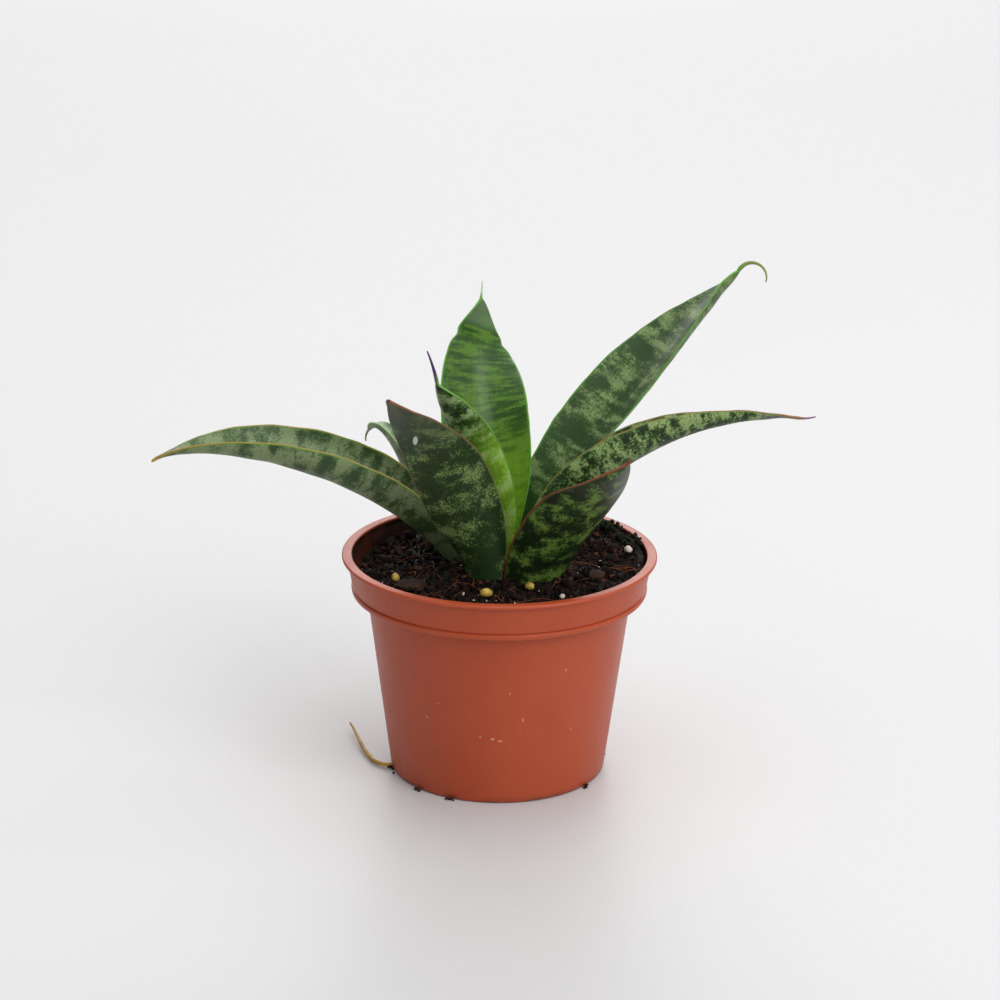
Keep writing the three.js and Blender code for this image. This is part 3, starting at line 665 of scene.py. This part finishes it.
def make_studio():
    world = bpy.data.worlds.new("studio")
    world.use_nodes = True
    background = world.node_tree.nodes["Background"]
    background.inputs["Color"].default_value = linear("#f4f6f8")
    background.inputs["Strength"].default_value = WORLD_STRENGTH
    bpy.context.scene.world = world
    for name, settings in LIGHTS.items():
        make_light(name, *settings)
    bpy.context.scene.view_settings.view_transform = "Standard"

    material, tree, shader = new_material("sprayed_white_board")
    place = add(tree, "ShaderNodeTexCoord").outputs["Object"]
    cloudy = add(tree, "ShaderNodeTexNoise", {"Vector": place, "Scale": 3.0, "Detail": 2.0})
    colour = layered(tree, linear("#c8c7c7"), [(cloudy.outputs["Fac"], linear("#cdcccc"))])
    tree.links.new(colour, shader.inputs["Base Color"])
    shader.inputs["Roughness"].default_value = 0.45
    shader.inputs["Specular IOR Level"].default_value = 0.25
    side = FLOOR_HALF_SIDE
    corners = [(-side, -side, 0), (side, -side, 0), (side, side, 0), (-side, side, 0)]
    mesh = bpy.data.meshes.new("floor")
    mesh.from_pydata((np.array(corners) * MM).tolist(), [], [(0, 1, 2, 3)])
    mesh.materials.append(material)
    floor = bpy.data.objects.new("floor", mesh)
    bpy.context.scene.collection.objects.link(floor)


# ---- Pot ----

def rounded(corners, steps=5):
    """A profile whose corners (radius, height, rounding) are replaced by parabolas that leave each side that
    far from the corner."""
    places = np.array([c[:2] for c in corners], float)
    profile = [places[0]]
    for i in range(1, len(corners) - 1):
        before, here, after = places[i - 1], places[i], places[i + 1]
        reach = corners[i][2]
        start = here + unit(before - here) * min(reach, np.linalg.norm(before - here) / 2.01)
        end = here + unit(after - here) * min(reach, np.linalg.norm(after - here) / 2.01)
        for t in np.linspace(0, 1, steps):
            profile.append((1 - t) ** 2 * start + 2 * t * (1 - t) * here + t ** 2 * end)
    profile.append(places[-1])
    return np.array(profile)


def pot_profile():
    foot, top = POT["collar_foot_height"], POT["height"]
    under = top - POT["lip_thickness"]
    bead = POT["collar_foot_radius"] + POT["bead_stand"]
    wall, inner_lip = POT["wall"], POT["lip_radius"] - POT["lip_width"]
    outside = [
        (0, 0, 0),
        (POT["base_radius"], 0, 0.7),
        (POT["body_top_radius"], POT["body_top_height"], 0.5),
        (bead - 0.15, foot, 0.3),
        (bead, foot + POT["bead_height"], 0.3),
        (POT["collar_foot_radius"] - 0.2, foot + POT["bead_height"] + 0.12, 0.12),
        (POT["collar_foot_radius"] + 0.05, foot + POT["bead_height"] + 0.4, 0.3),
        (POT["collar_top_radius"], under, 0.25),
        (POT["lip_radius"], under + 0.05, 0.25),
        (POT["lip_radius"], top, 0.4),
        (inner_lip, top, 0.4),
    ]
    inside = [
        (POT["collar_top_radius"] - wall, under - 0.4, 0.3),
        (POT["collar_foot_radius"] - wall, foot + 1.5, 0.6),
        (POT["collar_foot_radius"] - wall - 0.3, foot + 0.9, 0.6),
        (POT["body_top_radius"] - wall, POT["body_top_height"] - 0.3, 0.6),
        (POT["base_radius"] - wall + 0.2, POT["floor"], 0.6),
        (0, POT["floor"], 0),
    ]
    return rounded(outside + inside)


def turned(profile, columns):
    """A profile turned round the Z axis: each of its points makes a ring of that radius and height."""
    angle = np.linspace(0, 2 * math.pi, columns, endpoint=False)
    radius, height = profile[:, 0, None], profile[:, 1, None]
    return np.stack((radius * np.cos(angle), radius * np.sin(angle), height + 0 * angle), -1)


def cut_out(piece, cutter):
    """Takes one closed mesh away from another, and keeps only the result."""
    cut = piece.modifiers.new("cut", "BOOLEAN")
    cut.object = cutter
    cut.operation = "DIFFERENCE"
    cut.solver = "EXACT"
    depsgraph = bpy.context.evaluated_depsgraph_get()
    result = bpy.data.meshes.new_from_object(piece.evaluated_get(depsgraph))
    piece.modifiers.clear()
    piece.data = result
    bpy.data.objects.remove(cutter)


def build_pot():
    plastic = pot_plastic()
    pot = tube_piece("pot_shell", turned(pot_profile(), POT["columns"]), plastic)
    for angle in DRAIN["hole_angles"]:
        turn = math.radians(angle)
        bore = DRAIN["hole_radius"]
        column = turned(np.array(((0, -3), (bore, -3), (bore, 5), (0, 5))), 48)
        column[..., 0] += DRAIN["ring_radius"] * math.cos(turn)
        column[..., 1] += DRAIN["ring_radius"] * math.sin(turn)
        cut_out(pot, tube_piece("drill", column, plastic))
    for angle in DRAIN["groove_angles"]:
        turn = math.radians(angle)
        half, depth = DRAIN["groove_width"] / 2, DRAIN["groove_depth"]
        section = np.array(((-half, -1), (half, -1), (half, depth), (-half, depth)))
        rows = [np.zeros((4, 2)), section, section, np.zeros((4, 2))]
        out = [DRAIN["groove_start"]] * 2 + [POT["base_radius"] + 3] * 2
        block = np.stack([np.column_stack((np.full(4, o), row)) for o, row in zip(out, rows)])
        cos, sin = math.cos(turn), math.sin(turn)
        turning = np.array(((cos, sin, 0), (-sin, cos, 0), (0, 0, 1)))
        cut_out(pot, tube_piece("groove", block @ turning, plastic))
    pot.data.set_sharp_from_angle(angle=math.radians(38))
    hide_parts("pot")


# ---- Leaves ----

def leaf_sections(leaf, name):
    """The frame of every section along a leaf: places, the directions along, across and to the upper face,
    and half-widths, folds, thicknesses, distance along and share of the way. Past the blade's tip the awn
    follows an arc of its own length and curl."""
    rise = np.linspace(0, 1, BLADE_ROWS + 1)
    s = rise + 0.25 * rise * (1 - rise)
    turn = math.radians(leaf["azimuth"])
    out = np.array((math.cos(turn), math.sin(turn), 0))
    side = np.array((-math.sin(turn), math.cos(turn), 0))
    base = np.array((*leaf["base"], CROWN_HEIGHT))
    controls = [base] + [base + a * out + b * side + c * np.array((0, 0, 1)) for a, b, c in leaf["spine"]]
    t = s[:, None]
    place = ((1 - t) ** 3 * controls[0] + 3 * t * (1 - t) ** 2 * controls[1]
             + 3 * t ** 2 * (1 - t) * controls[2] + t ** 3 * controls[3])
    along = unit((1 - t) ** 2 * (controls[1] - controls[0]) + 2 * t * (1 - t) * (controls[2] - controls[1])
                 + t ** 2 * (controls[3] - controls[2]))
    across = unit(side - (along @ side)[:, None] * along)
    roll = np.radians(through(leaf["roll"], s))[:, None]
    across = across * np.cos(roll) + np.cross(along, across) * np.sin(roll)
    upper = np.cross(along, across)

    widest = leaf["widest"]
    to_widest = np.clip(s / widest, 0, 1)
    past_widest = np.clip((s - widest) / (1 - widest), 0, 1)
    rising = leaf["base_width"] + (1 - leaf["base_width"]) * np.sin(np.pi / 2 * to_widest) ** 1.3
    falling = np.cos(np.pi / 2 * past_widest) ** leaf["taper"]
    share = np.where(s < widest, rising, falling)
    if name in PINCH:
        where, reach, depth = PINCH[name]
        share = share * (1 - depth * np.exp(-((s - where) / reach) ** 2))
    half_width = np.maximum(leaf["half_width"] * share, leaf["awn"][2])
    slimness = np.clip(half_width / leaf["half_width"], 0, 1)
    middle = LEAF_TIP + (LEAF_MIDDLE - LEAF_TIP) * slimness
    fold = np.radians(np.maximum(through(leaf["fold"], s), 2))
    travelled = np.concatenate(([0], np.cumsum(np.linalg.norm(np.diff(place, axis=0), axis=1))))

    reach = np.linspace(0, 1, AWN_ROWS + 1)[1:]
    length, curl, thick = leaf["awn"]
    bend = math.radians(curl) * reach + 1e-6
    radius = length * reach / bend
    tip_along, tip_upper = along[-1], upper[-1]
    awn = (place[-1] + np.outer(radius * np.sin(bend), tip_along)
           + np.outer(radius * (1 - np.cos(bend)), tip_upper))
    awn_upper = np.outer(np.cos(bend), tip_upper) - np.outer(np.sin(bend), tip_along)
    awn_half = thick + (AWN_TIP_RADIUS - thick) * reach
    return {
        "place": np.vstack((place, awn)),
        "across": np.vstack((across, np.repeat(across[-1:], AWN_ROWS, 0))),
        "upper": np.vstack((upper, awn_upper)),
        "half_width": np.concatenate((half_width, awn_half)),
        "fold": np.concatenate((fold, np.full(AWN_ROWS, fold[-1] * 0.5))),
        "middle": np.concatenate((middle, 1.8 * awn_half)),
        "margin": np.concatenate((LEAF_MARGIN + 0 * s, awn_half)),
        "travelled": np.concatenate((travelled, travelled[-1] + length * reach)),
        "share": np.concatenate((s, 1 + 0.2 * reach)),
    }


def leaf_grid(leaf, name, seed):
    """A leaf's points and what its skin reads. A section is an arc of the fold's angle and the half-width's
    length either side of the spine, thickened to both faces by a half that falls with the square of the
    distance from the middle and is rounded off at the margins. The margins ripple towards the upper face.

    The skin reads lay, which is millimetres across, millimetres along and a number that differs for each leaf
    and face, and spot, which is millimetres from the edge and the share of the way along."""
    sections = leaf_sections(leaf, name)
    turn = np.linspace(-1, 1, ACROSS_STEPS + 1)
    top = np.sin(np.pi / 2 * turn)
    u = np.concatenate((top, top[::-1][1:-1]))
    face = np.concatenate((np.ones(len(top)), -np.ones(len(top) - 2)))
    face[[0, ACROSS_STEPS]] = 0
    half_width, fold = sections["half_width"][:, None], sections["fold"][:, None]
    margin, middle = sections["margin"][:, None], sections["middle"][:, None]
    rounding = np.sqrt(1 - u ** 12)
    half = face * (margin + (middle - margin) * (1 - u ** 2)) / 2 * rounding
    bend = half_width / fold
    angle = fold * u
    travelled = sections["travelled"][:, None]
    lay = np.stack(np.broadcast_arrays(half_width * u, travelled, 0 * u + seed * 37.0), -1)
    margin_side = np.sign(u) * 40.0  # keeps the two margins' ripples apart
    edge_noise, fine_noise = (
        noise(np.stack(np.broadcast_arrays(margin_side, travelled, seed * step + 0 * u), -1), size, seed)
        for step, size in ((9.0, 5.5), (5.0, 2.2)))
    on_blade = (smooth(sections["share"], 0.12, 0.3) * (1 - smooth(sections["share"], 0.93, 1.0)))[:, None]
    ripple = leaf["wave"] * on_blade * np.abs(u) ** 3 * (2.0 * edge_noise + 0.7 * fine_noise)
    hollow = 0.12 * on_blade * noise(lay * (0.4, 1, 1), 4.0, seed + 3)
    sideways = bend * np.sin(angle) - half * np.sin(angle) + 0.3 * ripple
    upwards = bend * (1 - np.cos(angle)) + half * np.cos(angle) + ripple + hollow
    grid = (sections["place"][:, None] + sideways[..., None] * sections["across"][:, None]
            + upwards[..., None] * sections["upper"][:, None])
    edge = half_width * (1 - np.abs(u))
    spot = np.stack(np.broadcast_arrays(edge, sections["share"][:, None], 0 * u), -1)
    lay = lay + np.stack(np.broadcast_arrays(0 * u, 0 * travelled, 8.0 * (face < 0)), -1)
    columns = len(u)
    ends = [np.repeat(sections["place"][i][None, None], columns, axis=1) for i in (0, -1)]
    grid = np.concatenate((ends[0], grid, ends[1]))
    lay, spot = (np.concatenate((values[:1], values, values[-1:])) for values in (lay, spot))
    return grid, lay, spot


def build_leaves():
    for seed, (name, leaf) in enumerate(LEAVES.items(), 1):
        grid, lay, spot = leaf_grid(leaf, name, seed)
        skin = leaf_skin(name, leaf)
        piece = tube_piece(name + "_skin", grid, skin, {"lay": lay, "spot": spot}, bake_map=True)
        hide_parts(name)


# ---- Soil and what is on it ----

def soil_radius(height):
    """The inside radius of the pot at a height, measured a hair inside its wall."""
    wall = POT["wall"] + 0.02
    wall_points = (
        (POT["floor"], POT["base_radius"] - wall + 0.2),
        (POT["body_top_height"] - 0.3, POT["body_top_radius"] - wall),
        (POT["collar_foot_height"] + 0.9, POT["collar_foot_radius"] - wall - 0.3),
        (POT["collar_foot_height"] + 1.5, POT["collar_foot_radius"] - wall),
        (POT["height"] - POT["lip_thickness"], POT["collar_top_radius"] - wall),
        (POT["height"], POT["collar_top_radius"] - wall),
    )
    heights, radii = zip(*wall_points)
    return np.interp(height, heights, radii)


def soil_height(x, y):
    """The soil's height with its clods: noise of three sizes on the smooth heap, all sunk by the same
    depth."""
    flat = np.stack(np.broadcast_arrays(x, y, 0 * x), -1)
    clods = sum(rise * noise(flat, size, seed) for seed, (rise, size) in enumerate(SOIL["clods"], 1))
    return soil_top(x, y) + clods - SOIL["sunk"]


def build_soil():
    material = peat()
    angle = np.linspace(0, 2 * math.pi, SOIL["columns"], endpoint=False)
    rows = []
    for share in np.linspace(0, 1, SOIL["rings"]) ** 0.8:
        edge = soil_radius(SOIL["level"] - SOIL["left_dip"])
        x, y = edge * share * np.cos(angle), edge * share * np.sin(angle)
        rows.append(np.stack((x, y, soil_height(x, y)), -1))
    low = SOIL["underside"]
    for height in (*SOIL["side_heights"], low):
        radius = soil_radius(height)
        rows.append(np.stack((radius * np.cos(angle), radius * np.sin(angle), 0 * angle + height), -1))
    rows.append(np.stack((0 * angle, 0 * angle, 0 * angle + low), -1))
    rows[0][:] = rows[0].mean(0)
    soil = tube_piece("soil_surface", np.array(rows)[::-1], material)
    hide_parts("soil")


def lump_shape():
    """A regular icosahedron: 12 points on a ball and 20 faces."""
    work = bmesh.new()
    bmesh.ops.create_icosphere(work, subdivisions=1, radius=1.0)
    points = np.array([v.co for v in work.verts])
    faces = np.array([[v.index for v in f.verts] for f in work.faces])
    work.free()
    return points, faces


def turns(random, count):
    """As many random turns: the orthogonal factor of a matrix of normal numbers."""
    made, _ = np.linalg.qr(random.normal(size=(count, 3, 3)))
    return made


def scatter(name, material, places, sizes, stretch, seed, tones, flatten=0.0):
    """Many lumps in one mesh: an icosahedron's points moved in and out by random shares, stretched, turned,
    flattened and placed. Nothing goes below the floor."""
    random = np.random.default_rng(seed)
    points, faces = lump_shape()
    count = len(places)
    bulge = 1 + random.uniform(-0.3, 0.3, (count, len(points), 1))
    lumps = points[None] * bulge * random.uniform(*stretch, (count, 1, 3))
    lumps = np.einsum("nvi,nij->nvj", lumps, turns(random, count))
    lumps[..., 2] *= 1 - flatten
    lumps = lumps * (np.asarray(sizes)[:, None, None] / 2) + np.asarray(places)[:, None]
    lumps[..., 2] = np.maximum(lumps[..., 2], 0)
    all_faces = (faces[None] + (np.arange(count) * len(points))[:, None, None]).reshape(-1, 3)
    piece = new_piece(name, lumps, all_faces.tolist(), material)
    add_attribute(piece, "tone", np.repeat(tones, len(points)))
    work = bmesh.new()
    work.from_mesh(piece.data)
    bmesh.ops.recalc_face_normals(work, faces=work.faces)
    work.to_mesh(piece.data)
    work.free()


def on_soil(random, count, reach=26.6, lift=0.2):
    """Places spread evenly over the soil: the radius goes with the square root of an even random number."""
    angle = random.uniform(0, 2 * math.pi, count)
    radius = reach * np.sqrt(random.uniform(0, 1, count))
    x, y = radius * np.cos(angle), radius * np.sin(angle)
    return np.column_stack((x, y, soil_height(x, y) + lift))


def build_crumbs():
    random = np.random.default_rng(SEED)
    places = on_soil(random, CRUMBS["peat"])
    sizes = random.gamma(1.8, 0.26, CRUMBS["peat"]) + 0.22
    tones = random.uniform(-0.4, 1.0, CRUMBS["peat"])
    crumb = toned("peat_crumb", "#0d0907", "#2a1a14", 0.95, 0.5, 0.12)
    scatter("peat_crumbs", crumb, places, sizes, (0.4, 1.5), 1, tones)

    places = on_soil(random, CRUMBS["wood"], lift=0.4)
    sizes = random.uniform(0.3, 1.1, CRUMBS["wood"])
    tones = random.uniform(0, 1, CRUMBS["wood"])
    wood = toned("rotted_wood", "#2c1911", "#633a28", 0.9, 0.5, 0.15)
    scatter("wood_crumbs", wood, places, sizes, (0.3, 1.6), 2, tones)

    places = on_soil(random, CRUMBS["perlite"], lift=0.5)
    sizes = random.uniform(0.16, 0.42, CRUMBS["perlite"])
    tones = random.uniform(0, 1, CRUMBS["perlite"])
    dust = toned("expanded_perlite_dust", "#8d867c", "#dcd6cc", 0.85, 0.2)
    scatter("perlite_specks", dust, places, sizes, (0.5, 1.4), 3, tones)

    build_moss(random)
    build_fibres(random)
    build_foot_crumbs(random)


def build_moss(random):
    """Dark green crumbs of moss along the rim at the back right, heaped a little over it: the heap's height
    falls off along the rim as a bell shape."""
    count, lowest = CRUMBS["moss"], 42.3
    angle = np.radians(random.uniform(12, 66, count))
    radius = random.uniform(25.0, 28.2, count)
    x, y = radius * np.cos(angle), radius * np.sin(angle)
    heap = random.uniform(0.2, 1.1, count) * np.exp(-((np.degrees(angle) - 28) / 22) ** 2)
    places = np.column_stack((x, y, np.maximum(soil_height(x, y), lowest) + heap))
    moss = toned("damp_moss", "#10130a", "#27301a", 0.95, 0.4, 0.2)
    sizes = random.uniform(0.5, 1.3, count)
    scatter("moss_crumbs", moss, places, sizes, (0.6, 1.3), 4, random.uniform(0, 1, count))


def build_fibres(random):
    """Peat fibres: thin four-sided threads on the soil, each a wandering path of even steps that turns a
    little."""
    count, steps, columns = FIBRES["count"], FIBRES["steps"], FIBRES["columns"]
    starts = on_soil(random, count, reach=FIBRES["reach"], lift=0.5)
    heading = random.uniform(0, 2 * math.pi, (count, 1))
    heading = heading + np.cumsum(random.normal(0, 0.28, (count, steps)), 1)
    step = random.uniform(0.3, 0.95, (count, 1))
    x = starts[:, :1] + np.cumsum(step * np.cos(heading), 1)
    y = starts[:, 1:2] + np.cumsum(step * np.sin(heading), 1)
    inside = np.minimum(1, FIBRES["farthest"] / np.maximum(np.hypot(x, y), 1e-6))
    x, y = x * inside, y * inside
    lift = random.uniform(0.25, 0.7, (count, 1)) + 0.25 * np.sin(np.linspace(0, math.pi, steps))
    z = soil_height(x, y) + lift
    z = (z + np.roll(z, 1, 1) + np.roll(z, -1, 1)) / 3
    z[:, [0, -1]] = z[:, [1, -2]] - 0.3
    vertices, faces, tones = [], [], []
    tone = random.uniform(-0.3, 1.2, count)
    for i in range(count):
        path = np.column_stack((x[i], y[i], z[i]))
        grid = sweep(path, np.linspace(FIBRES["thick"], FIBRES["thin"], steps), columns)
        faces.append(grid_faces(len(grid), columns) + sum(len(v) for v in vertices))
        vertices.append(grid.reshape(-1, 3))
        tones.append(np.full(len(vertices[-1]), tone[i]))
    fibre = toned("peat_fibre", "#24130c", "#7d4827", 0.8, 0.8, 0.2)
    piece = new_piece("peat_fibres", np.vstack(vertices), np.vstack(faces).tolist(), fibre)
    add_attribute(piece, "tone", np.concatenate(tones))
    merge_points(piece)


def build_foot_crumbs(random):
    """Crumbs of soil that have fallen out of the pot and lie against its foot."""
    places, sizes = [], []
    for x, y, count, spread in FALLEN:
        radius = math.hypot(x, y)
        angle = math.atan2(y, x) + random.normal(0, spread / radius, count)
        distance = POT["base_radius"] + 0.25 + np.abs(random.normal(0, 0.35, count))
        size = random.uniform(0.35, 0.95, count)
        places.append(np.column_stack((distance * np.cos(angle), distance * np.sin(angle), 0.38 * size)))
        sizes.append(size)
    sizes = np.concatenate(sizes)
    fallen = toned("fallen_soil", "#20140e", "#4a2c1e", 0.9, 0.4, 0.2)
    tones = random.uniform(0, 1, len(sizes))
    scatter("fallen_crumbs", fallen, np.vstack(places), sizes, (0.7, 1.1), 5, tones, flatten=0.3)


def pebble(name, node, material, rough, seed, square=1.0, rows=28, columns=40):
    """A closed grain in a CAD node's box: a ball whose coordinates are raised to a power, for flat faces and
    blunt corners, and moved in and out by noise of two sizes."""
    low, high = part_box(node)
    low, high = np.array(low) / MM, np.array(high) / MM
    centre, half = (low + high) / 2, (high - low) / 2
    tilt = np.linspace(0, math.pi, rows)[:, None]
    turn = np.linspace(0, 2 * math.pi, columns, endpoint=False)[None]
    x, y = np.sin(tilt) * np.cos(turn), np.sin(tilt) * np.sin(turn)
    ball = np.stack(np.broadcast_arrays(x, y, -np.cos(tilt)), -1)
    shaped = np.sign(ball) * np.abs(ball) ** square
    bulge = 1 + rough * (noise(ball, 0.9, seed) + 0.5 * noise(ball, 0.4, seed + 1))
    grid = centre + shaped * half * bulge[..., None]
    tone = 0.5 + 0.5 * noise(ball, 0.7, seed + 2)
    piece = tube_piece(name, grid, material, {"tone": tone.ravel()})
    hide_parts(node)


def build_grains():
    # Coated fertiliser: a smooth resin skin over a yellow prill, dulled by dust.
    prill = toned("resin_coated_fertiliser", "#8d7322", "#c9ac4c", 0.4, 0.6, 0.5)
    # Expanded volcanic glass: chalky white foam, slightly stained by the soil.
    perlite = toned("expanded_perlite", "#c7b0a2", "#f1e6da", 0.8, 0.3, 0.3)
    # Pine bark: flat brown flakes, darker where they are wet.
    bark = toned("composted_bark", "#150e0a", "#3d281f", 0.9, 0.7, 0.15)
    for seed, place in enumerate(("front", "right", "left")):
        pebble("prill_" + place, "fertiliser_prill_" + place, prill, 0.06, 10 + seed)
        pebble("perlite_" + place, "perlite_grain_" + place, perlite, 0.16, 20 + seed)
    for seed, place in enumerate(("left", "right", "back")):
        pebble("bark_" + place, "bark_chip_" + place, bark, 0.22, 30 + seed, square=0.7)


# ---- Roots ----

def build_roots():
    # A living root: tan cork skin, half gloss, mottled lighter and darker.
    cork = toned("corky_root", "#977126", "#d4ab50", 0.55, 0.7, 0.4)
    path = curve_through(ESCAPED_ROOT, 120)
    step = np.linspace(0, 1, len(path))
    line = np.column_stack((step * 30, 0 * step, 0 * step))
    wobble = np.stack([noise(line, 1.7, 60 + axis) for axis in range(3)], -1)
    path = path + 0.12 * wobble * np.array((1, 1, 0.3))
    thickness = 1 + 0.12 * noise(2 * line, 1.0, 64)
    radii = ESCAPED_ROOT_RADIUS * thickness * (1 - 0.45 * smooth(step, 0.75, 1.0))
    path[:, 2] = np.maximum(path[:, 2], radii + 0.03)
    grid = sweep(path, radii, 14)
    tone = 0.45 + 0.5 * noise(grid, 2.2, 66)
    piece = tube_piece("trailing_root", grid, cork, {"tone": tone.ravel()})
    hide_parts("escaped_root")
    for name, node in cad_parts.items():
        if name.startswith("root_") or name == "rhizome":
            node.data.materials.clear()
            node.data.materials.append(cork)


make_camera()
make_studio()
build_pot()
build_leaves()
build_soil()
build_crumbs()
build_grains()
build_roots()
